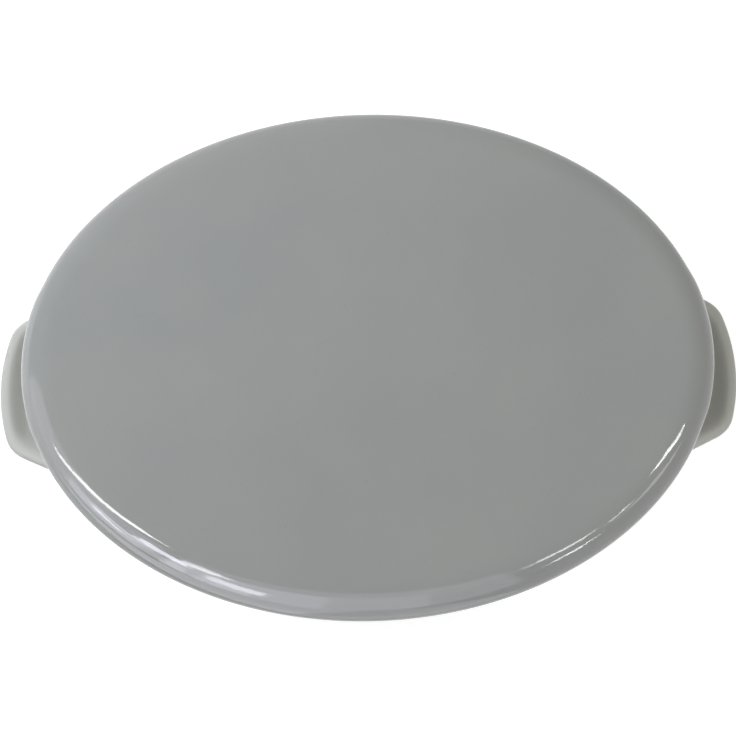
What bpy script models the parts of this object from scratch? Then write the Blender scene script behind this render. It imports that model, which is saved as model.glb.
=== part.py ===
"""Oval cast iron roasting pan, enamelled all over, turned upside down on its rim as it is stored to dry.

The pan is modelled the right way up, base at z = 0 and rim at z = HEIGHT, with its long axis along X.
An empty then turns the whole pan over, so that its rim and the tops of its handles lie on the ground.
Every ring of the pan is a parallel curve of one oval, the outer edge of the rim. The casting is an iron
core with an enamel coat on each side, and each handle is an iron lug that runs through its own coat and
the wall's coat to the core.
"""
import math

import bmesh
import bpy

# The oval and its wall, in metres
RIM_LENGTH = 0.3092          # outer length of the rim along X, without the handles
RIM_WIDTH = 0.2324           # outer width of the rim along Y
HEIGHT = 0.070               # from the base to the rim
DRAFT = math.radians(1.5)    # the wall leans out by this much towards the rim
BASE_EDGE_RADIUS = 0.016     # rounding between the base and the wall, outside
SHOULDER_RADIUS = 0.030      # softer rounding where the flat base ends
SHOULDER_ANGLE = math.radians(5.0)
FLOOR_RADIUS = 0.012         # rounding between the floor and the wall, inside

# The layers: coat, iron, coat
COAT = 0.0004                # thickness of each enamel coat
GAP = 0.0003                 # clearance between pieces that touch
IRON_WALL = 0.0034
IRON_FLOOR = 0.0040
RIM_BAND = 0.0012            # height of the enamel band that covers the rim
RIM_ROUND = 0.0005           # rounding of the band's edges

# The handle lugs, one at each end of the oval
HANDLE_REACH = 0.0254        # how far a handle stands out past the rim
HANDLE_OUTER_HALF = 0.0318   # half its length along its outer edge
HANDLE_ROOT_HALF = 0.0462    # half its length where it meets the wall
HANDLE_BOW = 0.0062          # how far the outer edge bows out in its middle
HANDLE_CORNER_BLEND = 0.005  # width over which the outer edge and the end run into each other
HANDLE_PLATE = 0.0050        # thickness over the finger scoop
HANDLE_LIP = 0.0105          # depth of the lip round the scoop
HANDLE_LIP_ROUND = 0.0045    # rounding of the lip's outer edge, up to its crest
HANDLE_SCOOP_SLOPE = 0.0085  # width of the slope from the lip's crest into the scoop
HANDLE_TOP_ROUND = 0.0015    # rounding of the top's outer edge
HANDLE_END_DEPTH = 0.006     # how far the ends of a lug's outline run on inside the wall
HANDLE_ROOT_DEPTH = 0.018    # how far inside the rim's end its sections stop
HANDLE_FAN = 0.5             # the sections draw together by this share towards their root

# Facets
OVAL_STEPS = 72
SHOULDER_STEPS = 1
EDGE_STEPS = 8
FLOOR_STEPS = 6
OUTLINE_STEPS = 11
ROUND_STEPS = 3
SLOPE_STEPS = 5
HALVINGS = 40
OVERRUN = 0.002              # how far a cutter runs past what it cuts

WALL = COAT + GAP + IRON_WALL + GAP + COAT
FLOOR = COAT + GAP + IRON_FLOOR + GAP + COAT
IRON_TOP = HEIGHT - RIM_BAND - GAP
HALF_LENGTH = RIM_LENGTH / 2
HALF_WIDTH = RIM_WIDTH / 2
UPRIGHT = math.pi / 2 - DRAFT
SHARP_ANGLE = math.radians(40)

# Points of a handle's outline in plan, at +X and +Y
TIP_X = HALF_LENGTH + HANDLE_REACH
CORNER = (TIP_X - HANDLE_BOW, HANDLE_OUTER_HALF)
ROOT = (HALF_LENGTH * math.sqrt(1 - (HANDLE_ROOT_HALF / HALF_WIDTH) ** 2), HANDLE_ROOT_HALF)
BOW_RADIUS = (HANDLE_OUTER_HALF ** 2 + HANDLE_BOW ** 2) / (2 * HANDLE_BOW)


def clear_scene():
    for old in list(bpy.data.objects):
        bpy.data.objects.remove(old, do_unlink=True)


def material(name, colour, roughness, metallic, coat):
    made = bpy.data.materials.new(name)
    made.use_nodes = True
    shader = made.node_tree.nodes["Principled BSDF"]
    shader.inputs["Base Color"].default_value = (*colour, 1.0)
    shader.inputs["Roughness"].default_value = roughness
    shader.inputs["Metallic"].default_value = metallic
    shader.inputs["Coat Weight"].default_value = coat
    return made


def smooth_step(x):
    return x * x * (3 - 2 * x)


def turned(point, way):
    """The unit vector from a point towards another."""
    across, along = way[0] - point[0], way[1] - point[1]
    length = math.hypot(across, along)
    return across / length, along / length


# Profiles of the wall, each a list of (offset from the rim's outer edge, z), from the base to the rim

def arc(start, first, last, radius, steps):
    """Points of an arc after its start, whose heading turns from one angle to another."""
    points = []
    for step in range(1, steps + 1):
        heading = first + (last - first) * step / steps
        across = radius * (math.sin(heading) - math.sin(first))
        up = radius * (math.cos(first) - math.cos(heading))
        points.append((start[0] + across, start[1] + up))
    return points


def wall_face(z):
    """Offset of the wall's outer face at a height."""
    return (z - HEIGHT) * math.tan(DRAFT)


def outer_profile(top):
    """The outer face, from the edge of the flat base up to a height."""
    points = [(0.0, 0.0)]
    points += arc(points[-1], 0.0, SHOULDER_ANGLE, SHOULDER_RADIUS, SHOULDER_STEPS)
    points += arc(points[-1], SHOULDER_ANGLE, UPRIGHT, BASE_EDGE_RADIUS, EDGE_STEPS)
    shift = wall_face(points[-1][1]) - points[-1][0]
    points = [(offset + shift, z) for offset, z in points]
    points.append((wall_face(top), top))
    return points


def inner_profile(top):
    """The inner face, from the edge of the flat floor up to a height."""
    points = [(0.0, FLOOR)]
    points += arc(points[-1], 0.0, UPRIGHT, FLOOR_RADIUS, FLOOR_STEPS)
    shift = wall_face(points[-1][1]) - WALL - points[-1][0]
    points = [(offset + shift, z) for offset, z in points]
    points.append((wall_face(top) - WALL, top))
    return points


def parallel(profile, distance):
    """The profile moved outwards and down by a distance. Its last point keeps its height."""
    last = len(profile) - 1
    moved = []
    for index, (offset, z) in enumerate(profile):
        along = turned(profile[max(index - 1, 0)], profile[min(index + 1, last)])
        if index == 0:
            along = (1.0, 0.0)
        if index == last:
            along = (0.0, 1.0)
        moved.append((offset + distance * along[1], z - distance * along[0]))
    return moved


def band_section():
    """The band of enamel on the rim, a closed section."""
    under = HEIGHT - RIM_BAND
    shoulder = HEIGHT - RIM_ROUND
    nick = RIM_ROUND * (1 - math.cos(math.pi / 4))
    return [
        (wall_face(under), under),
        (wall_face(shoulder), shoulder),
        (-nick, HEIGHT - nick),
        (-RIM_ROUND, HEIGHT),
        (RIM_ROUND - WALL, HEIGHT),
        (nick - WALL, HEIGHT - nick),
        (wall_face(shoulder) - WALL, shoulder),
        (wall_face(under) - WALL, under),
    ]


# Solids that follow the oval

def oval_point(angle, offset):
    """A point of the curve that runs parallel to the rim's outer edge, at an offset outwards."""
    way_x, way_y = turned((0.0, 0.0), (HALF_WIDTH * math.cos(angle), HALF_LENGTH * math.sin(angle)))
    return HALF_LENGTH * math.cos(angle) + offset * way_x, HALF_WIDTH * math.sin(angle) + offset * way_y


def add_ring(mesh, offset, z):
    ring = []
    for step in range(OVAL_STEPS):
        x, y = oval_point(2 * math.pi * step / OVAL_STEPS, offset)
        ring.append(mesh.verts.new((x, y, z)))
    return ring


def bridge(mesh, ring, following):
    for index in range(len(ring)):
        right = (index + 1) % len(ring)
        mesh.faces.new((ring[index], ring[right], following[right], following[index]))


def skin(mesh, rings, closed):
    """Faces between rings, one after the other. An open run of rings is capped at both ends."""
    for ring, following in zip(rings, rings[1:]):
        bridge(mesh, ring, following)
    if closed:
        bridge(mesh, rings[-1], rings[0])
    else:
        mesh.faces.new(rings[0])
        mesh.faces.new(rings[-1])


def finish(name, mesh, look, pan):
    """Makes an object of the mesh, with its faces out and its round faces smooth."""
    bmesh.ops.recalc_face_normals(mesh, faces=mesh.faces)
    data = bpy.data.meshes.new(name)
    mesh.to_mesh(data)
    mesh.free()
    data.shade_smooth()
    data.set_sharp_from_angle(angle=SHARP_ANGLE)
    data.materials.append(look)
    made = bpy.data.objects.new(name, data)
    bpy.context.collection.objects.link(made)
    made.parent = pan
    return made


def oval_solid(name, profile, look, pan, closed=False):
    mesh = bmesh.new()
    rings = [add_ring(mesh, offset, z) for offset, z in profile]
    skin(mesh, rings, closed)
    return finish(name, mesh, look, pan)


# Handle lugs, modelled at +X and mirrored for the other end

def beyond_edge(x, y):
    """Distance outwards from a handle's edge. Its bowed side and its straight end run into each other."""
    bow = math.hypot(x - TIP_X + BOW_RADIUS, y) - BOW_RADIUS
    way = turned(CORNER, ROOT)
    end = (x - CORNER[0]) * way[1] - (y - CORNER[1]) * way[0]
    share = max(HANDLE_CORNER_BLEND - abs(bow - end), 0.0) / HANDLE_CORNER_BLEND
    return max(bow, end) + share * share * HANDLE_CORNER_BLEND / 4


def edge_point(angle):
    """The point of a handle's edge at an angle round the middle of its root, found by halving."""
    middle = HALF_LENGTH - HANDLE_ROOT_DEPTH
    near, far = 0.0, HALF_LENGTH
    for _ in range(HALVINGS):
        reach = (near + far) / 2
        if beyond_edge(middle + reach * math.cos(angle), reach * math.sin(angle)) > 0:
            far = reach
        else:
            near = reach
    return middle + near * math.cos(angle), near * math.sin(angle)


def handle_outline(overrun):
    """The edge of a handle in plan, from its end at -Y to its end at +Y, both inside the wall."""
    widest = math.atan2(ROOT[1], ROOT[0] - HALF_LENGTH + HANDLE_ROOT_DEPTH)
    half = [edge_point(widest * step / OUTLINE_STEPS) for step in range(1, OUTLINE_STEPS)]
    way = turned(CORNER, ROOT)
    depth = HANDLE_END_DEPTH + overrun
    half += [ROOT, (ROOT[0] + way[0] * depth, ROOT[1] + way[1] * depth)]
    mirrored = [(x, -y) for x, y in reversed(half)]
    return mirrored + [edge_point(0.0)] + half


def handle_section(grow, root):
    """A section from the handle's edge to its root as (inwards, down from the top), grown all round."""
    nick = 1 - math.cos(math.pi / 4)
    points = [(root, 0.0), (HANDLE_TOP_ROUND, 0.0)]
    points += [(HANDLE_TOP_ROUND * nick, HANDLE_TOP_ROUND * nick), (0.0, HANDLE_TOP_ROUND)]
    for step in range(ROUND_STEPS + 1):
        turn = math.pi / 2 * step / ROUND_STEPS
        inwards = HANDLE_LIP_ROUND * (1 - math.cos(turn))
        points.append((inwards, HANDLE_LIP - HANDLE_LIP_ROUND * (1 - math.sin(turn))))
    for step in range(1, SLOPE_STEPS + 1):
        share = step / SLOPE_STEPS
        down = HANDLE_LIP - (HANDLE_LIP - HANDLE_PLATE) * smooth_step(share)
        points.append((HANDLE_LIP_ROUND + HANDLE_SCOOP_SLOPE * share, down))
    points.append((root, HANDLE_PLATE))
    last = len(points) - 1
    grown = []
    for index, (inwards, down) in enumerate(points):
        along = turned(points[max(index - 1, 0)], points[min(index + 1, last)])
        grown.append((inwards - grow * along[1], down + grow * along[0]))
    return grown


def handle_solid(name, side, grow, overrun, look, pan):
    """A lug at the pan's end, grown by a distance all round. Its root runs on inside the wall."""
    root_x = HALF_LENGTH - HANDLE_ROOT_DEPTH - overrun
    mesh = bmesh.new()
    rings = []
    for x, y in handle_outline(overrun):
        root = (root_x, y * HANDLE_FAN)
        inwards = turned((x, y), root)
        ring = []
        for reach, down in handle_section(grow, math.dist((x, y), root)):
            point = (side * (x + inwards[0] * reach), y + inwards[1] * reach, HEIGHT - down)
            ring.append(mesh.verts.new(point))
        rings.append(ring)
    skin(mesh, rings, closed=False)
    return finish(name, mesh, look, pan)


def as_cutter(made):
    made.hide_render = True
    made.display_type = "WIRE"
    return made


def cut(target, cutter):
    subtract = target.modifiers.new("cut by " + cutter.name, "BOOLEAN")
    subtract.operation = "DIFFERENCE"
    subtract.object = cutter


def make_pan():
    iron = material("cast_iron", (0.050, 0.048, 0.046), 0.75, 0.6, 0.0)
    grey = material("grey_enamel", (0.330, 0.335, 0.345), 0.12, 0.0, 0.6)
    cream = material("cream_enamel", (0.700, 0.680, 0.600), 0.14, 0.0, 0.6)
    rim = material("rim_enamel", (0.420, 0.420, 0.410), 0.30, 0.0, 0.3)
    pale = material("handle_enamel", (0.430, 0.435, 0.410), 0.14, 0.0, 0.6)

    pan = bpy.data.objects.new("turned_over", None)
    bpy.context.collection.objects.link(pan)
    pan.location = (0.0, 0.0, HEIGHT)
    pan.rotation_euler = (math.pi, 0.0, 0.0)

    outside = outer_profile(IRON_TOP)
    inside = inner_profile(IRON_TOP)
    under_coat = COAT + GAP
    core = parallel(outside, -under_coat) + list(reversed(parallel(inside, under_coat)))
    oval_solid("iron_pan_body", core, iron, pan)
    outer_coat = outside + list(reversed(parallel(outside, -COAT)))
    exterior = oval_solid("exterior_enamel", outer_coat, grey, pan)
    inner_coat = parallel(inside, COAT) + list(reversed(inside))
    oval_solid("interior_enamel", inner_coat, cream, pan)
    oval_solid("rim_enamel_band", band_section(), rim, pan, closed=True)

    core_seat = parallel(outside, -COAT) + [(GAP, IRON_TOP), (GAP, HEIGHT + OVERRUN)]
    core_seat = as_cutter(oval_solid("seat_on_core", core_seat, iron, pan))
    coat_seat = parallel(outer_profile(HEIGHT), GAP) + [(GAP, HEIGHT + OVERRUN)]
    coat_seat = as_cutter(oval_solid("seat_on_coat", coat_seat, iron, pan))

    for end, side in (("left", -1), ("right", 1)):
        hollow = as_cutter(handle_solid("hollow_" + end, side, -COAT, OVERRUN, iron, pan))
        lug = handle_solid("iron_handle_" + end, side, -under_coat, 0.0, iron, pan)
        cut(lug, core_seat)
        coat = handle_solid("handle_enamel_" + end, side, 0.0, 0.0, pale, pan)
        cut(coat, hollow)
        cut(coat, coat_seat)
        cut(exterior, hollow)


clear_scene()
make_pan()
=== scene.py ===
"""Oval enamelled cast iron roasting pan, turned upside down on its rim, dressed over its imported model.

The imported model's sizes are repeated here as the same named values. Finer skins stand for its enamel
coats. Its iron parts lie inside the skins and get a cast iron material. Heights are measured from the
ground, so the rim is at 0 and the base at HEIGHT.
"""

import math

import bmesh
import bpy
import numpy as np
from mathutils import Matrix, Vector


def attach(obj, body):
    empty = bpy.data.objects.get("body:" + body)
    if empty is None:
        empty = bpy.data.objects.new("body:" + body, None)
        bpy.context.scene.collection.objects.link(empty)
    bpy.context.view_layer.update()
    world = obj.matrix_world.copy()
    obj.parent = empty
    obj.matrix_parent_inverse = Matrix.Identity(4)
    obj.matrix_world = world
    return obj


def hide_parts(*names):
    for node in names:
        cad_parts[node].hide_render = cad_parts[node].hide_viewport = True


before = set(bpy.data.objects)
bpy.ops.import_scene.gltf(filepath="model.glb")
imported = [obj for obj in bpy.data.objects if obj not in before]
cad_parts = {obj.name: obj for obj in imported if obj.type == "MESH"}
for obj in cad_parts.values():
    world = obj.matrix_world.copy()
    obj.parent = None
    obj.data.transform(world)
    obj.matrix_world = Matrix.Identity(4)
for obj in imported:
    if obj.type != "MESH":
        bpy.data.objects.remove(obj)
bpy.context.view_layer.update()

# The pan's sizes in metres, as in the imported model
RIM_LENGTH = 0.3092
RIM_WIDTH = 0.2324
HEIGHT = 0.070
DRAFT = math.radians(1.5)
BASE_EDGE_RADIUS = 0.016
SHOULDER_RADIUS = 0.030
SHOULDER_ANGLE = math.radians(5.0)
FLOOR_RADIUS = 0.012
COAT = 0.0004
WALL = 0.0048
FLOOR = 0.0054
RIM_BAND = 0.0012
RIM_ROUND = 0.0005
HALF_LENGTH = RIM_LENGTH / 2
HALF_WIDTH = RIM_WIDTH / 2
UPRIGHT = math.pi / 2 - DRAFT

# The handles
HANDLE_REACH = 0.0254
HANDLE_OUTER_HALF = 0.0318
HANDLE_ROOT_HALF = 0.0462
HANDLE_BOW = 0.0062
HANDLE_CORNER_BLEND = 0.005
HANDLE_PLATE = 0.0050
HANDLE_LIP = 0.0105
HANDLE_LIP_ROUND = 0.0045
HANDLE_SCOOP_SLOPE = 0.0085
HANDLE_TOP_ROUND = 0.0015
HANDLE_WALL_BLEND = 0.0040     # softness of the corner between a handle and the wall
SUNK = 0.00004                 # the handle's skin leaves the wall this far under its face
HANDLE_ROOT = 0.0020           # and ends this deep inside it
HANDLE_FOOT_SLOPE = 0.7        # under the wall the skin's foot rises inwards this steeply
HANDLE_FADE = 0.0035           # the glaze turns from the wall's to the lip's painted paler tone over this distance

# Over each handle the wall rises upright, a little outside its even slope
SWELL = 0.0005
SWELL_HALF = 0.038
SWELL_FADE = 0.010
SWELL_LOW = (0.010, 0.040)     # heights between which it grows
SWELL_HIGH = (0.058, 0.067)    # and fades again

# Facets
OVAL_STEPS = 320
PROFILE_STEP = 0.0005          # length of the facets round the base's edge
WALL_STEPS = 12
PROFILE_EASE = 0.0018          # length over which the profile's curvature changes
EASE_STEPS = 12                # fine steps in that length
EASE_PASSES = 2
BAND_STEPS = 4                 # points up each face of the rim's band
ROUND_STEPS = 7                # points round each of its edges
DISC_SHARES = (0.97, 0.9, 0.78, 0.62, 0.45, 0.28, 0.12)    # sizes of the ovals that close a level end
HANDLE_CELL = 0.0007
SHARP_ANGLE = math.radians(40)

# How far the box in which a handle's skin is looked for goes on past the handle
BOX_BESIDE = 0.010
BOX_INWARDS = 0.022
BOX_OUTWARDS = 0.002
BOX_BELOW = 0.0015
BOX_ABOVE = 0.006

# The search for a handle's surface
OVAL_PASSES = 5                # towards the nearest point of the oval
SETTLE_PASSES = 3              # of a point onto the surface
NUDGE = 0.00001                # step over which a slope is measured
LEAST_SLOPE = 0.5              # gentler slopes count as this one
TINY = 1e-9                    # keeps a division away from 0

# The photograph's view: from close by, nearly straight down
VIEW_ELEVATION = math.radians(78.0)
VIEW_ROLL = math.radians(1.73)
VIEW_DISTANCE = 0.50
VIEW_TARGET = Vector((0.0001, 0.0013, 0.024))
FRAME_PIXELS = 736
FOCAL_PIXELS = 1054.7
SENSOR = 36.0
CLIP_END = 50.0

# Glazes, each with its cooler and its warmer tone. Gloss is the roughness. Shine and glare are the
# mirror strength from straight above and at a grazing view.
SHINE = 0.55
GREY = (0.262, 0.268, 0.264)
GREY_WARM = (0.278, 0.282, 0.274)
GREY_GLOSS = 0.05
GREY_GLARE = 0.14
# The handles' tones are the wall's grey enamel painted paler: painted light for the light that the handles
# catch from the pale ground beside them.
PALE_PAINTED_LIGHT = (0.505, 0.509, 0.471)
PALE_WARM_PAINTED_LIGHT = (0.525, 0.527, 0.489)
PALE_GLOSS = 0.34
PALE_SHINE = 0.15
PALE_GLARE = 0.09
CREAM = (0.62, 0.59, 0.50)
CREAM_WARM = (0.66, 0.63, 0.55)
CREAM_GLOSS = 0.08
CREAM_GLARE = 0.40
GLAZE_IOR = 1.5
GLARE_SPAN = (0.35, 0.72)      # slants between which the shine turns into the glare
BLACK = (0.0, 0.0, 0.0)

# Patterns of the glaze: a noise's scale and detail, and the span of its values that is stretched
MOTTLE = (14.0, 4.0, 0.35, 0.65)
SPECKS = (620.0, 2.0, 0.68, 0.76)
SPECK_SHARE = 0.15             # how much of a speck's tone shows
SPECK_DARKNESS = 0.4
HAZE = (35.0, 3.0, 0.35, 0.7)
HAZE_GLOSS = 0.05              # roughness that the haze adds at most
PEEL_SCALE = 260.0
PEEL_HEIGHT = 0.00004
WAVE_SCALE = 60.0
WAVE_HEIGHT = 0.00016

# Cast iron
IRON = (0.045, 0.043, 0.041)
IRON_PALER = (0.085, 0.080, 0.074)
IRON_CLOUD = (60.0, 4.0, 0.3, 0.7)
IRON_METALLIC = 0.6
GRAIN_SCALE = 900.0
GRAIN_DETAIL = 3.0
GRAIN_SPAN = (0.3, 0.7)
GRAIN_ROUGHNESS = (0.55, 0.85)
GRAIN_HEIGHT = 0.0002

# The stage that the pan lies on, and the room
STAGE_RADIUS = 6.0
STAGE_STEPS = 96
STAGE_DROP = 0.0002            # it lies this far under the rim
STAGE_COLOUR = (0.45, 0.45, 0.45, 1.0)
STAGE_GLOW = 0.80              # its own glow, to the camera and to mirror rays
ROOM_LIGHT = 0.34              # the room's light on the pan and the stage
ROOM_COLOUR = (1.0, 1.0, 0.95, 1.0)
BACKDROP_COLOUR = (1.0, 1.0, 1.0, 1.0)

# Lamps that light the pan: name, place, size, power and colour
LAMPS = (
    ("key", (-0.58, 0.26, 0.71), (0.6, 0.6), 6.9, (0.90, 0.94, 1.0)),
    ("front", (0.60, -1.35, 0.21), (1.0, 0.4), 6.0, (0.90, 0.91, 1.0)),
    ("fill", (0.58, 0.06, 1.00), (0.6, 0.4), 2.0, (1.0, 1.0, 0.93)),
)

# Lights that only mirror in the glaze. A window or wall has a name, its near and far end along the wall,
# its bottom and top, its radiance, and the turn and distance of the wall.
WINDOW_TURN = math.radians(-155.0)
FRONT_TURN = math.radians(-100.0)
WINDOW_DISTANCE = 2.0
WALL_DISTANCE = 2.2            # walls stand behind the windows, so that both mirror
FAR_WALL_DISTANCE = 2.3
WINDOWS = (
    ("window_low", -0.10, 1.15, 0.16, 0.90, 2.5, WINDOW_TURN, WINDOW_DISTANCE),
    ("window_low_far", 1.25, 1.85, 0.00, 0.56, 1.8, WINDOW_TURN, WINDOW_DISTANCE),
    ("window_middle", 0.17, 0.80, 0.48, 1.00, 8.0, WINDOW_TURN, WINDOW_DISTANCE),
    ("window_high", 0.58, 1.12, 1.06, 1.62, 11.5, WINDOW_TURN, WINDOW_DISTANCE),
    ("window_far", 1.30, 2.02, 0.62, 1.40, 7.6, WINDOW_TURN, WINDOW_DISTANCE),
    ("wall_front", -1.30, 1.70, 0.00, 3.60, 1.2, FRONT_TURN, FAR_WALL_DISTANCE),
    ("wall_front_left", -1.30, 0.05, 0.00, 2.00, 2.0, FRONT_TURN, WALL_DISTANCE),
    ("wall_front_middle", 0.05, 0.80, 0.00, 2.00, 0.9, FRONT_TURN, WALL_DISTANCE),
    ("wall_left", -1.40, 0.80, 0.00, 2.40, 1.5, WINDOW_TURN, WALL_DISTANCE),
)
WINDOW_COLOUR = (0.88, 0.88, 1.0)

# Cards on the ground: name, left and right end, front and back end, radiance
CARDS = (
    ("card_front_left", -0.60, -0.05, -2.00, -0.17, 1.8),
    ("card_front_right", -0.05, 0.10, -2.00, -0.17, 0.8),
    ("card_left_far", -1.80, -0.30, -0.90, 0.20, 0.6),
    ("card_left", -0.30, -0.19, -0.30, 0.12, 0.34),
    ("card_right", 0.19, 0.30, -0.12, 0.12, 0.06),
)
CARD_COLOUR = (0.92, 0.92, 1.0)

# Rows of ceiling lights along X: name, left and right end, y of their middle, width, radiance
TUBES = (
    ("tube_near_left", -1.40, -0.70, -0.512, 0.17, 16.0),
    ("tube_near_left_end", -2.50, -1.40, -0.56, 0.17, 13.0),
    ("tube_near_right", 1.20, 2.05, -0.42, 0.15, 16.0),
    ("tube_middle_left", -1.08, -0.92, -1.42, 0.26, 10.0),
    ("tube_middle_left_end", -0.92, -0.74, -1.27, 0.36, 10.0),
    ("tube_middle_right", 0.80, 1.25, -1.27, 0.22, 11.0),
    ("tube_middle_side", 1.50, 1.75, -1.23, 0.24, 10.0),
    ("tube_far_right", 2.08, 2.80, -3.10, 0.60, 18.0),
    ("tube_far_side", 2.20, 4.00, -1.50, 0.80, 2.6),
)
CEILING_HEIGHT = 1.30
TUBE_COLOUR = (1.0, 1.0, 1.0)

RIGHT = Vector((1.0, 0.0, 0.0))
AWAY = Vector((0.0, 1.0, 0.0))
UP = Vector((0.0, 0.0, 1.0))


def smooth_step(x):
    """0 up to x = 0, 1 from x = 1 on, and level at both ends of the rise between."""
    x = np.clip(x, 0.0, 1.0)
    return x * x * (3 - 2 * x)


def smooth_slope(x):
    """The slope of the smooth step, for x from 0 to 1."""
    return 6 * x * (1 - x)


# Profiles, each a list of (offset from the rim's outer edge, height)

def eased_bend(bends):
    """Points of a profile that starts level at the origin and bends down, as (across, down).

    The bends are (radius, heading at its end). Their joins are eased, so that the curvature never jumps.
    """
    lengths = [0.0]
    headings = [0.0]
    for radius, heading in bends:
        lengths.append(lengths[-1] + radius * (heading - headings[-1]))
        headings.append(heading)
    pad = EASE_PASSES * PROFILE_EASE
    fine = PROFILE_EASE / EASE_STEPS
    along = np.arange(-pad, lengths[-1] + pad, fine)
    heading = np.interp(along, lengths, headings)
    window = np.ones(EASE_STEPS) / EASE_STEPS
    for _ in range(EASE_PASSES):
        longer = np.pad(heading, EASE_STEPS, mode="edge")
        heading = np.convolve(longer, window, mode="same")[EASE_STEPS:-EASE_STEPS]
    across = np.cumsum(np.cos(heading)) * fine
    down = np.cumsum(np.sin(heading)) * fine
    stride = max(1, round(PROFILE_STEP / fine))
    picked = list(range(0, len(along), stride))
    if picked[-1] != len(along) - 1:
        picked.append(len(along) - 1)
    return [(across[i] - across[0], down[i] - down[0]) for i in picked]


def wall_face(height):
    """Offset of the wall's outer face at a height."""
    return -height * math.tan(DRAFT)


def outer_profile():
    """The outer face, from the edge of the flat base down to the rim band."""
    bend = eased_bend([(SHOULDER_RADIUS, SHOULDER_ANGLE), (BASE_EDGE_RADIUS, UPRIGHT)])
    foot = HEIGHT - bend[-1][1]
    shift = wall_face(foot) - bend[-1][0]
    points = [(across + shift, HEIGHT - down) for across, down in bend]
    for height in np.linspace(foot, RIM_BAND, WALL_STEPS)[1:]:
        points.append((wall_face(height), height))
    return points


def inner_profile():
    """The inner face, from the edge of the flat floor down to the rim band."""
    bend = eased_bend([(FLOOR_RADIUS, UPRIGHT)])
    foot = HEIGHT - FLOOR - bend[-1][1]
    shift = wall_face(foot) - WALL - bend[-1][0]
    points = [(across + shift, HEIGHT - FLOOR - down) for across, down in bend]
    for height in np.linspace(foot, RIM_BAND, WALL_STEPS)[1:]:
        points.append((wall_face(height) - WALL, height))
    return points


def parallel(profile, distance):
    """The profile moved outwards and up by a distance. Its last point keeps its height."""
    last = len(profile) - 1
    moved = []
    for index, (offset, height) in enumerate(profile):
        before, after = profile[max(index - 1, 0)], profile[min(index + 1, last)]
        across, down = after[0] - before[0], before[1] - after[1]
        length = math.hypot(across, down)
        if index == last:
            across, down, length = 0.0, 1.0, 1.0
        moved.append((offset + distance * down / length, height + distance * across / length))
    return moved


def band_section():
    """The enamel that covers the rim, a closed section with rounded edges."""
    points = [(wall_face(height), height) for height in np.linspace(RIM_BAND, RIM_ROUND, BAND_STEPS)]
    for turn in np.linspace(0, math.pi / 2, ROUND_STEPS):
        points.append((-RIM_ROUND * (1 - math.cos(turn)), RIM_ROUND * (1 - math.sin(turn))))
    for turn in np.linspace(math.pi / 2, 0, ROUND_STEPS):
        points.append((RIM_ROUND * (1 - math.cos(turn)) - WALL, RIM_ROUND * (1 - math.sin(turn))))
    for height in np.linspace(RIM_ROUND, RIM_BAND, BAND_STEPS):
        points.append((wall_face(height) - WALL, height))
    return points


def swell(y, height):
    """How far the wall's outer face stands out over a handle."""
    beside = smooth_step((SWELL_HALF - np.abs(y)) / SWELL_FADE)
    grown = smooth_step((height - SWELL_LOW[0]) / (SWELL_LOW[1] - SWELL_LOW[0]))
    faded = smooth_step((SWELL_HIGH[1] - height) / (SWELL_HIGH[1] - SWELL_HIGH[0]))
    return SWELL * beside * grown * faded


# Skins that follow the oval

def oval_ring(offset, height, swollen):
    """Points of the curve that runs parallel to the rim's outer edge, at an offset outwards."""
    ring = []
    for step in range(OVAL_STEPS):
        angle = 2 * math.pi * step / OVAL_STEPS
        x = HALF_LENGTH * math.cos(angle)
        y = HALF_WIDTH * math.sin(angle)
        way = Vector((HALF_WIDTH * math.cos(angle), HALF_LENGTH * math.sin(angle))).normalized()
        out = offset
        if swollen:
            out += float(swell(y, height))
        ring.append((x + out * way.x, y + out * way.y))
    return ring


def add_ring(mesh, offset, height, share=1.0, swollen=False):
    """Points of an oval at a height, shrunk towards its middle to a share of its size."""
    return [mesh.verts.new((x * share, y * share, height)) for x, y in oval_ring(offset, height, swollen)]


def bridge(mesh, ring, following):
    """Joins two ovals with a band of quads."""
    for index in range(len(ring)):
        right = (index + 1) % len(ring)
        mesh.faces.new((ring[index], ring[right], following[right], following[index]))


def add_disc(mesh, ring, offset, height):
    """Closes a level oval with smaller ovals down to its middle."""
    for share in DISC_SHARES:
        smaller = add_ring(mesh, offset, height, share)
        bridge(mesh, ring, smaller)
        ring = smaller
    middle = mesh.verts.new((0.0, 0.0, height))
    for index in range(len(ring)):
        mesh.faces.new((ring[index], ring[(index + 1) % len(ring)], middle))


def make_object(name, mesh, look):
    """Makes an object of the mesh, with its faces out and smooth."""
    bmesh.ops.recalc_face_normals(mesh, faces=mesh.faces)
    data = bpy.data.meshes.new(name)
    mesh.to_mesh(data)
    mesh.free()
    data.shade_smooth()
    data.set_sharp_from_angle(angle=SHARP_ANGLE)
    data.materials.append(look)
    made = bpy.data.objects.new(name, data)
    bpy.context.collection.objects.link(made)
    return made


def dished_skin(name, shown, hidden, look, swollen=False):
    """A closed skin between two profiles, each capped by a level oval at its start."""
    mesh = bmesh.new()
    ends = []
    for profile, stands_out in ((shown, swollen), (hidden, False)):
        rings = [add_ring(mesh, offset, height, swollen=stands_out) for offset, height in profile]
        for ring, following in zip(rings, rings[1:]):
            bridge(mesh, ring, following)
        add_disc(mesh, rings[0], *profile[0])
        ends.append(rings[-1])
    bridge(mesh, *ends)
    return make_object(name, mesh, look)


def band_skin(name, section, look):
    """A skin that takes a closed section round the oval."""
    mesh = bmesh.new()
    rings = [add_ring(mesh, offset, height) for offset, height in section]
    for ring, following in zip(rings, rings[1:] + rings[:1]):
        bridge(mesh, ring, following)
    return make_object(name, mesh, look)


# Handles, each the level surface of a distance field, so that lip, scoop and wall flow into each other

def soft_min(a, b, width):
    """The smaller of two distances, blended where they differ by less than a width."""
    share = np.maximum(width - np.abs(a - b), 0.0) / width
    return np.minimum(a, b) - share * share * width / 4


def soft_max(a, b, width):
    """The larger of two distances, blended in the same way."""
    return -soft_min(-a, -b, width)


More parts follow.
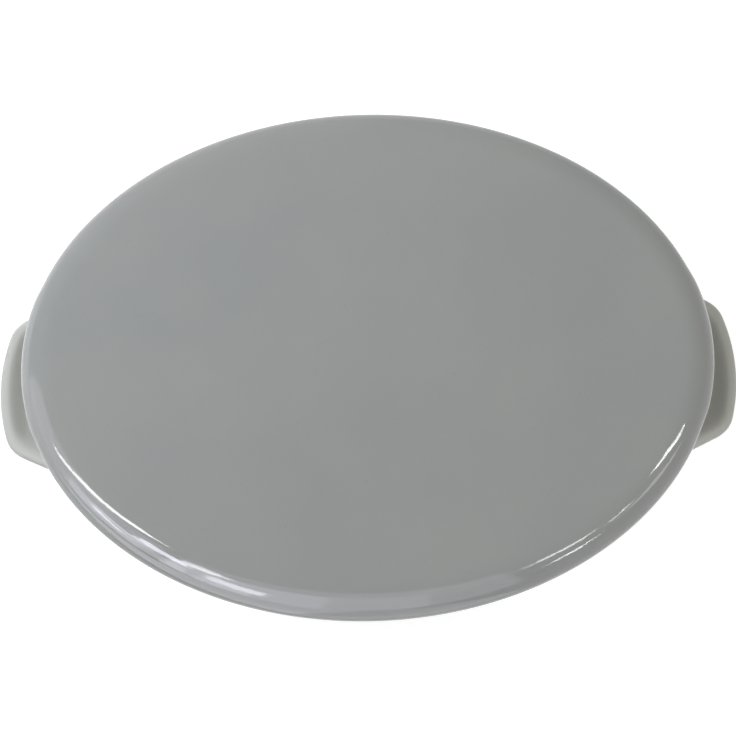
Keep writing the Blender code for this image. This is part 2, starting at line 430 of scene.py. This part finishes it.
def round_max(a, b, radius):
    """The larger of two distances, with the edge between their faces rounded."""
    corner = np.hypot(np.maximum(a + radius, 0.0), np.maximum(b + radius, 0.0))
    return corner + np.minimum(np.maximum(a + radius, b + radius), 0.0) - radius


def beyond_rim(x, y):
    """Signed distance from the oval of the rim's outer edge, positive outside it."""
    far, side = np.abs(x), np.abs(y)
    spread = HALF_LENGTH ** 2 - HALF_WIDTH ** 2
    way_x = np.full_like(far, math.sqrt(0.5))
    way_y = np.full_like(far, math.sqrt(0.5))
    for _ in range(OVAL_PASSES):
        centre_x = spread * way_x ** 3 / HALF_LENGTH
        centre_y = -spread * way_y ** 3 / HALF_WIDTH
        radius = np.hypot(HALF_LENGTH * way_x - centre_x, HALF_WIDTH * way_y - centre_y)
        reach = np.maximum(np.hypot(far - centre_x, side - centre_y), TINY)
        way_x = np.clip(((far - centre_x) * radius / reach + centre_x) / HALF_LENGTH, 0.0, 1.0)
        way_y = np.clip(((side - centre_y) * radius / reach + centre_y) / HALF_WIDTH, 0.0, 1.0)
        size = np.hypot(way_x, way_y)
        way_x, way_y = way_x / size, way_y / size
    distance = np.hypot(far - HALF_LENGTH * way_x, side - HALF_WIDTH * way_y)
    inside = (far / HALF_LENGTH) ** 2 + (side / HALF_WIDTH) ** 2 < 1
    return np.where(inside, -distance, distance)


def inside_outline(x, y):
    """Distance inwards from the edge of the handle at +X, seen from above."""
    tip = HALF_LENGTH + HANDLE_REACH
    bow_radius = (HANDLE_OUTER_HALF ** 2 + HANDLE_BOW ** 2) / (2 * HANDLE_BOW)
    bow = np.hypot(x - (tip - bow_radius), y) - bow_radius
    corner = Vector((tip - HANDLE_BOW, HANDLE_OUTER_HALF))
    root = Vector((HALF_LENGTH * math.sqrt(1 - (HANDLE_ROOT_HALF / HALF_WIDTH) ** 2), HANDLE_ROOT_HALF))
    way = (root - corner).normalized()
    end = (x - corner.x) * way.y - (np.abs(y) - corner.y) * way.x
    return -soft_max(bow, end, HANDLE_CORNER_BLEND)


def handle_field(x, y, height):
    """Distance outwards from the skin of the handle at +X and of the corner that it makes with the wall."""
    inwards = inside_outline(x, y)
    share = np.clip((inwards - HANDLE_LIP_ROUND) / HANDLE_SCOOP_SLOPE, 0.0, 1.0)
    rise = HANDLE_LIP - HANDLE_PLATE
    top = HANDLE_LIP - rise * smooth_step(share)
    steepness = rise * smooth_slope(share) / HANDLE_SCOOP_SLOPE
    above = (height - top) / np.sqrt(1 + steepness ** 2)
    lug = round_max(above, -inwards, HANDLE_LIP_ROUND)
    lug = round_max(lug, -height, HANDLE_TOP_ROUND)
    rim = beyond_rim(x, y)
    wall = rim - wall_face(height) - swell(y, height)
    joined = soft_min(lug, wall + SUNK, HANDLE_WALL_BLEND)
    joined = np.maximum(joined, -wall - HANDLE_ROOT)
    joined = np.maximum(joined, lug - HANDLE_WALL_BLEND)
    foot = -height + HANDLE_FOOT_SLOPE * np.maximum(-rim - RIM_ROUND, 0.0)
    return np.maximum(joined, foot)


def edge_crossings(grid, values, cell):
    """For each cell the sum of the places where the surface crosses its edges, and their number."""
    solid = values < 0
    cells = tuple(count - 1 for count in values.shape)
    total = np.zeros(cells + (3,))
    crossings = np.zeros(cells)
    for axis in range(3):
        one, two = [i for i in range(3) if i != axis]
        for first, second in ((0, 0), (0, 1), (1, 0), (1, 1)):
            near = [slice(0, count) for count in cells]
            near[one] = slice(first, first + cells[one])
            near[two] = slice(second, second + cells[two])
            far = list(near)
            far[axis] = slice(1, 1 + cells[axis])
            near, far = tuple(near), tuple(far)
            crossed = solid[near] != solid[far]
            rise = np.where(crossed, values[near] - values[far], 1.0)
            share = np.where(crossed, values[near] / rise, 0.0)
            crossings += crossed
            for i in range(3):
                place = grid[i][near] + (share * cell if i == axis else 0.0)
                total[..., i] += np.where(crossed, place, 0.0)
    return total, crossings


def crossed_quads(solid, index):
    """A quad for each edge that the surface crosses, between the points of the four cells round it."""
    cells = index.shape
    quads = []
    for axis in range(3):
        one, two = [i for i in range(3) if i != axis]
        near = [slice(1, count) for count in cells]
        near[axis] = slice(0, cells[axis])
        far = list(near)
        far[axis] = slice(1, 1 + cells[axis])
        for place in np.argwhere(solid[tuple(near)] != solid[tuple(far)]):
            corners = []
            for step_one, step_two in ((0, 0), (1, 0), (1, 1), (0, 1)):
                at = place.copy()
                at[one] += 1 - step_one
                at[two] += 1 - step_two
                corners.append(int(index[tuple(at)]))
            quads.append(corners)
    return quads


def level_surface(field, low, high, cell):
    """Points and quads of the surface where a field is 0, one point in each cell that it crosses."""
    counts = [int(math.ceil((high[i] - low[i]) / cell)) + 1 for i in range(3)]
    axes = [low[i] + cell * np.arange(counts[i]) for i in range(3)]
    grid = np.meshgrid(*axes, indexing="ij")
    values = field(*grid)
    total, crossings = edge_crossings(grid, values, cell)
    held = crossings > 0
    index = np.full(crossings.shape, -1)
    index[held] = np.arange(held.sum())
    points = total[held] / crossings[held][:, None]
    return points, crossed_quads(values < 0, index)


def settle(field, points):
    """Moves points onto the surface where a field is 0."""
    for _ in range(SETTLE_PASSES):
        value = field(*points.T)
        slope = np.empty_like(points)
        for axis in range(3):
            moved = points.copy()
            moved[:, axis] += NUDGE
            slope[:, axis] = (field(*moved.T) - value) / NUDGE
        size = np.maximum((slope ** 2).sum(axis=1), LEAST_SLOPE ** 2)
        points = points - slope * (value / size)[:, None]
    return points


def handle_skins(look):
    """The skins of the left and the right handle, which is the left one's mirror image."""
    half = HANDLE_ROOT_HALF + BOX_BESIDE
    low = (HALF_LENGTH - BOX_INWARDS, -half, -BOX_BELOW)
    high = (HALF_LENGTH + HANDLE_REACH + BOX_OUTWARDS, half, HANDLE_LIP + BOX_ABOVE)
    points, quads = level_surface(handle_field, low, high, HANDLE_CELL)
    points = settle(handle_field, points)
    handles = []
    for name, side in (("handle_skin_left", -1), ("handle_skin_right", 1)):
        mesh = bmesh.new()
        verts = [mesh.verts.new((side * x, y, max(z, 0.0))) for x, y, z in points]
        for quad in quads:
            mesh.faces.new([verts[i] for i in quad])
        handles.append(make_object(name, mesh, look))
    return handles


# Materials

class Nodes:
    """Adds nodes to a material and links them."""

    def __init__(self, name):
        self.material = bpy.data.materials.new(name)
        self.material.use_nodes = True
        self.tree = self.material.node_tree
        self.shader = self.tree.nodes["Principled BSDF"]

    def put(self, node, name, value):
        """Links an input to a node's output, or sets it to a plain value."""
        socket = node.inputs[name]
        if isinstance(value, bpy.types.NodeSocket):
            self.tree.links.new(value, socket)
        elif socket.type == "RGBA":
            socket.default_value = (*value, 1.0)
        else:
            socket.default_value = value

    def add(self, kind, **inputs):
        node = self.tree.nodes.new(kind)
        for name, value in inputs.items():
            self.put(node, name, value)
        return node

    def place(self):
        """The point's place on its object, in metres."""
        return self.add("ShaderNodeTexCoord").outputs["Object"]

    def noise(self, scale, detail=1.0):
        node = self.add("ShaderNodeTexNoise", Scale=scale, Detail=detail)
        self.put(node, "Vector", self.place())
        return node.outputs["Fac"]

    def spread(self, value, low, high, to_low, to_high):
        """The value, with low to high carried over to another range and kept inside it."""
        node = self.add("ShaderNodeMapRange")
        for name, number in (("From Min", low), ("From Max", high), ("To Min", to_low), ("To Max", to_high)):
            self.put(node, name, number)
        self.put(node, "Value", value)
        return node.outputs["Result"]

    def pattern(self, scale, detail, low, high, strength=1.0):
        """A noise, with its values from low to high stretched over 0 to the strength."""
        return self.spread(self.noise(scale, detail), low, high, 0.0, strength)

    def mix(self, factor, first, second):
        """A mix of two colours, which are the mix node's inputs 6 and 7 and its output 2."""
        node = self.tree.nodes.new("ShaderNodeMix")
        node.data_type = "RGBA"
        self.put(node, "Factor", factor)
        self.put(node, 6, first)
        self.put(node, 7, second)
        return node.outputs[2]

    def math(self, operation, first, second):
        node = self.tree.nodes.new("ShaderNodeMath")
        node.operation = operation
        self.put(node, 0, first)
        self.put(node, 1, second)
        return node.outputs[0]

    def beyond_rim(self):
        """About how far outside the rim's outer edge a point of a handle lies."""
        share = self.tree.nodes.new("ShaderNodeVectorMath")
        share.operation = "MULTIPLY"
        self.put(share, 0, self.place())
        self.put(share, 1, (1 / HALF_LENGTH, 1 / HALF_WIDTH, 0.0))
        size = self.tree.nodes.new("ShaderNodeVectorMath")
        size.operation = "LENGTH"
        self.put(size, 0, share.outputs["Vector"])
        outside = self.math("SUBTRACT", size.outputs["Value"], 1.0)
        return self.math("MULTIPLY", outside, HALF_LENGTH)

    def bump(self, height, distance, normal=None):
        node = self.add("ShaderNodeBump", Strength=1.0, Distance=distance, Height=height)
        if normal:
            self.put(node, "Normal", normal)
        return node.outputs["Normal"]


def glaze(nodes, colour, warmer, gloss, shine, glare):
    """Fired enamel: an even glassy coat with a faint mottle, fine specks and a slight orange peel."""
    tone = nodes.mix(nodes.pattern(*MOTTLE), colour, warmer)
    specks = nodes.pattern(*SPECKS, SPECK_SHARE)
    darker = nodes.mix(SPECK_DARKNESS, colour, BLACK)
    nodes.put(nodes.shader, "Base Color", nodes.mix(specks, tone, darker))
    haze = nodes.pattern(*HAZE, HAZE_GLOSS)
    nodes.put(nodes.shader, "Roughness", nodes.math("ADD", haze, gloss))
    peel = nodes.bump(nodes.noise(PEEL_SCALE), PEEL_HEIGHT)
    waves = nodes.bump(nodes.noise(WAVE_SCALE), WAVE_HEIGHT, peel)
    nodes.put(nodes.shader, "Normal", waves)
    slant = nodes.add("ShaderNodeLayerWeight", Blend=0.5)
    mirror = nodes.spread(slant.outputs["Facing"], *GLARE_SPAN, shine, glare)
    nodes.put(nodes.shader, "Specular IOR Level", mirror)
    nodes.shader.inputs["IOR"].default_value = GLAZE_IOR


def enamel(name, colour, warmer, gloss, glare):
    """A glaze that is the same all over."""
    nodes = Nodes(name)
    glaze(nodes, colour, warmer, gloss, SHINE, glare)
    return nodes.material


def handle_enamel(name):
    """The wall's enamel at the root of a handle, duller towards the lip and painted paler there, as painted
    light for the light that the handles catch.
    """
    nodes = Nodes(name)
    fade = nodes.spread(nodes.beyond_rim(), 0.0, HANDLE_FADE, 0.0, 1.0)
    # painted light: the colour turns from the wall's grey to a painted paler copy of it
    colour = nodes.mix(fade, GREY, PALE_PAINTED_LIGHT)
    warmer = nodes.mix(fade, GREY_WARM, PALE_WARM_PAINTED_LIGHT)
    gloss = nodes.spread(fade, 0.0, 1.0, GREY_GLOSS, PALE_GLOSS)
    shine = nodes.spread(fade, 0.0, 1.0, SHINE, PALE_SHINE)
    glaze(nodes, colour, warmer, gloss, shine, PALE_GLARE)
    return nodes.material


def cast_iron(name):
    """Sand cast iron: dark, with a grainy skin."""
    nodes = Nodes(name)
    cloud = nodes.pattern(*IRON_CLOUD)
    nodes.put(nodes.shader, "Base Color", nodes.mix(cloud, IRON, IRON_PALER))
    grain = nodes.noise(GRAIN_SCALE, GRAIN_DETAIL)
    nodes.put(nodes.shader, "Roughness", nodes.spread(grain, *GRAIN_SPAN, *GRAIN_ROUGHNESS))
    nodes.put(nodes.shader, "Normal", nodes.bump(grain, GRAIN_HEIGHT))
    nodes.shader.inputs["Metallic"].default_value = IRON_METALLIC
    return nodes.material


# The stage

def seen_directly(tree):
    """1 for the rays that show the background: camera, mirror and glass rays."""
    path = tree.nodes.new("ShaderNodeLightPath")
    value = path.outputs["Is Camera Ray"]
    for kind in ("Is Glossy Ray", "Is Transmission Ray"):
        larger = tree.nodes.new("ShaderNodeMath")
        larger.operation = "MAXIMUM"
        tree.links.new(value, larger.inputs[0])
        tree.links.new(path.outputs[kind], larger.inputs[1])
        value = larger.outputs[0]
    return value


def floor_look():
    """A pale matt floor that glows where it is seen directly."""
    material = bpy.data.materials.new("pale_floor")
    material.use_nodes = True
    tree = material.node_tree
    tree.nodes.clear()
    diffuse = tree.nodes.new("ShaderNodeBsdfDiffuse")
    diffuse.inputs["Color"].default_value = STAGE_COLOUR
    glow = tree.nodes.new("ShaderNodeEmission")
    lift = tree.nodes.new("ShaderNodeMath")
    lift.operation = "MULTIPLY"
    lift.inputs[1].default_value = STAGE_GLOW
    tree.links.new(seen_directly(tree), lift.inputs[0])
    tree.links.new(lift.outputs[0], glow.inputs["Strength"])
    both = tree.nodes.new("ShaderNodeAddShader")
    tree.links.new(diffuse.outputs[0], both.inputs[0])
    tree.links.new(glow.outputs[0], both.inputs[1])
    output = tree.nodes.new("ShaderNodeOutputMaterial")
    tree.links.new(both.outputs[0], output.inputs["Surface"])
    return material


def make_floor():
    mesh = bmesh.new()
    bmesh.ops.create_circle(mesh, cap_ends=True, segments=STAGE_STEPS, radius=STAGE_RADIUS)
    data = bpy.data.meshes.new("floor")
    mesh.to_mesh(data)
    mesh.free()
    data.materials.append(floor_look())
    floor = bpy.data.objects.new("floor", data)
    floor.location = (0.0, 0.0, -STAGE_DROP)
    bpy.context.collection.objects.link(floor)


def make_world():
    """Faint light from all sides, and a white backdrop where it is seen directly."""
    world = bpy.data.worlds.new("studio")
    bpy.context.scene.world = world
    world.use_nodes = True
    tree = world.node_tree
    tree.nodes.clear()
    room = tree.nodes.new("ShaderNodeBackground")
    room.inputs["Strength"].default_value = ROOM_LIGHT
    room.inputs["Color"].default_value = ROOM_COLOUR
    backdrop = tree.nodes.new("ShaderNodeBackground")
    backdrop.inputs["Color"].default_value = BACKDROP_COLOUR
    chosen = tree.nodes.new("ShaderNodeMixShader")
    tree.links.new(seen_directly(tree), chosen.inputs[0])
    tree.links.new(room.outputs[0], chosen.inputs[1])
    tree.links.new(backdrop.outputs[0], chosen.inputs[2])
    output = tree.nodes.new("ShaderNodeOutputWorld")
    tree.links.new(chosen.outputs[0], output.inputs["Surface"])


# Lights

def add_light(name, place, axes, size, power, colour):
    """A bright rectangle along the first two axes, which shines against the third."""
    data = bpy.data.lights.new(name, "AREA")
    data.shape = "RECTANGLE"
    data.size, data.size_y = size
    data.energy = power
    data.color = colour
    light = bpy.data.objects.new(name, data)
    light.matrix_world = Matrix.Translation(place) @ Matrix(axes).transposed().to_4x4()
    light.visible_camera = False
    bpy.context.collection.objects.link(light)
    return light


def make_lamp(name, place, size, power, colour):
    """A soft box that faces the pan and doesn't mirror in it."""
    back = Vector(place).normalized()
    side = Vector((-back.y, back.x, 0.0)).normalized()
    lamp = add_light(name, place, (side, back.cross(side), back), size, power, colour)
    lamp.visible_glossy = False


def make_mirrored(name, place, axes, size, radiance, colour):
    """A light that only mirrors in the glaze."""
    power = radiance * math.pi * size[0] * size[1]
    light = add_light(name, place, axes, size, power, colour)
    light.visible_diffuse = False


def make_window(name, near, far, bottom, top, radiance, turn, distance):
    """A bright part of a wall, from near to far along it. The turn is the way from the pan to the wall."""
    out = Vector((math.cos(turn), math.sin(turn), 0.0))
    along = Vector((-out.y, out.x, 0.0))
    place = out * distance + along * ((near + far) / 2) + UP * ((bottom + top) / 2)
    make_mirrored(name, place, (along, UP, out), (far - near, top - bottom), radiance, WINDOW_COLOUR)


def make_card(name, left, right, front, back, radiance):
    """A bright card that lies beside the pan and shines up."""
    place = Vector(((left + right) / 2, (front + back) / 2, 0.0))
    make_mirrored(name, place, (RIGHT, -AWAY, -UP), (right - left, back - front), radiance, CARD_COLOUR)


def make_tube(name, left, right, y, width, radiance):
    """A row of ceiling lights, which shines down."""
    place = Vector(((left + right) / 2, y, CEILING_HEIGHT))
    make_mirrored(name, place, (RIGHT, AWAY, UP), (right - left, width), radiance, TUBE_COLOUR)


def make_lights():
    for make, rows in ((make_lamp, LAMPS), (make_window, WINDOWS), (make_card, CARDS), (make_tube, TUBES)):
        for row in rows:
            make(*row)


def make_camera():
    data = bpy.data.cameras.new("camera")
    data.sensor_width = SENSOR
    data.lens = FOCAL_PIXELS / FRAME_PIXELS * SENSOR
    data.clip_end = CLIP_END
    camera = bpy.data.objects.new("camera", data)
    back = Vector((0.0, -math.cos(VIEW_ELEVATION), math.sin(VIEW_ELEVATION)))
    up = back.cross(RIGHT)
    rolled_right = RIGHT * math.cos(VIEW_ROLL) - up * math.sin(VIEW_ROLL)
    rolled_up = up * math.cos(VIEW_ROLL) + RIGHT * math.sin(VIEW_ROLL)
    turn = Matrix((rolled_right, rolled_up, back)).transposed().to_4x4()
    camera.matrix_world = Matrix.Translation(VIEW_TARGET + back * VIEW_DISTANCE) @ turn
    bpy.context.collection.objects.link(camera)
    bpy.context.scene.camera = camera


# The pieces

def make_exterior(look):
    """The coat of the base and of the wall's outside."""
    outside = outer_profile()
    exterior = dished_skin("exterior_skin", outside, parallel(outside, -COAT), look, swollen=True)
    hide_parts("exterior_enamel")
    return exterior


def make_interior(look):
    """The coat of the floor and of the wall's inside."""
    inside = inner_profile()
    interior = dished_skin("interior_skin", inside, parallel(inside, COAT), look)
    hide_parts("interior_enamel")
    return interior


def make_rim(look):
    """The coat that covers the rim."""
    rim = band_skin("rim_bead", band_section(), look)
    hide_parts("rim_enamel_band")
    return rim


def make_handles(look):
    """The coats of both handles."""
    left, right = handle_skins(look)
    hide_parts("handle_enamel_left")
    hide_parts("handle_enamel_right")
    return left, right


def dress_iron(look):
    """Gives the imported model's iron parts, which keep their shape, a material."""
    for name in ("iron_pan_body", "iron_handle_left", "iron_handle_right"):
        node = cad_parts[name]
        for slot in node.material_slots:
            slot.material = look


def dress():
    grey = enamel("grey_glaze", GREY, GREY_WARM, GREY_GLOSS, GREY_GLARE)
    cream = enamel("cream_glaze", CREAM, CREAM_WARM, CREAM_GLOSS, CREAM_GLARE)
    # the handles' glaze, painted paler than the wall's as painted light
    pale = handle_enamel("handle_glaze_painted_light")
    iron = cast_iron("sand_cast_iron")
    exterior = make_exterior(grey)
    interior = make_interior(cream)
    rim = make_rim(grey)
    left, right = make_handles(pale)
    for piece in (exterior, interior, rim, left, right):
        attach(piece, "root")
    dress_iron(iron)


bpy.context.scene.view_settings.view_transform = "Standard"
dress()
make_floor()
make_world()
make_lights()
make_camera()
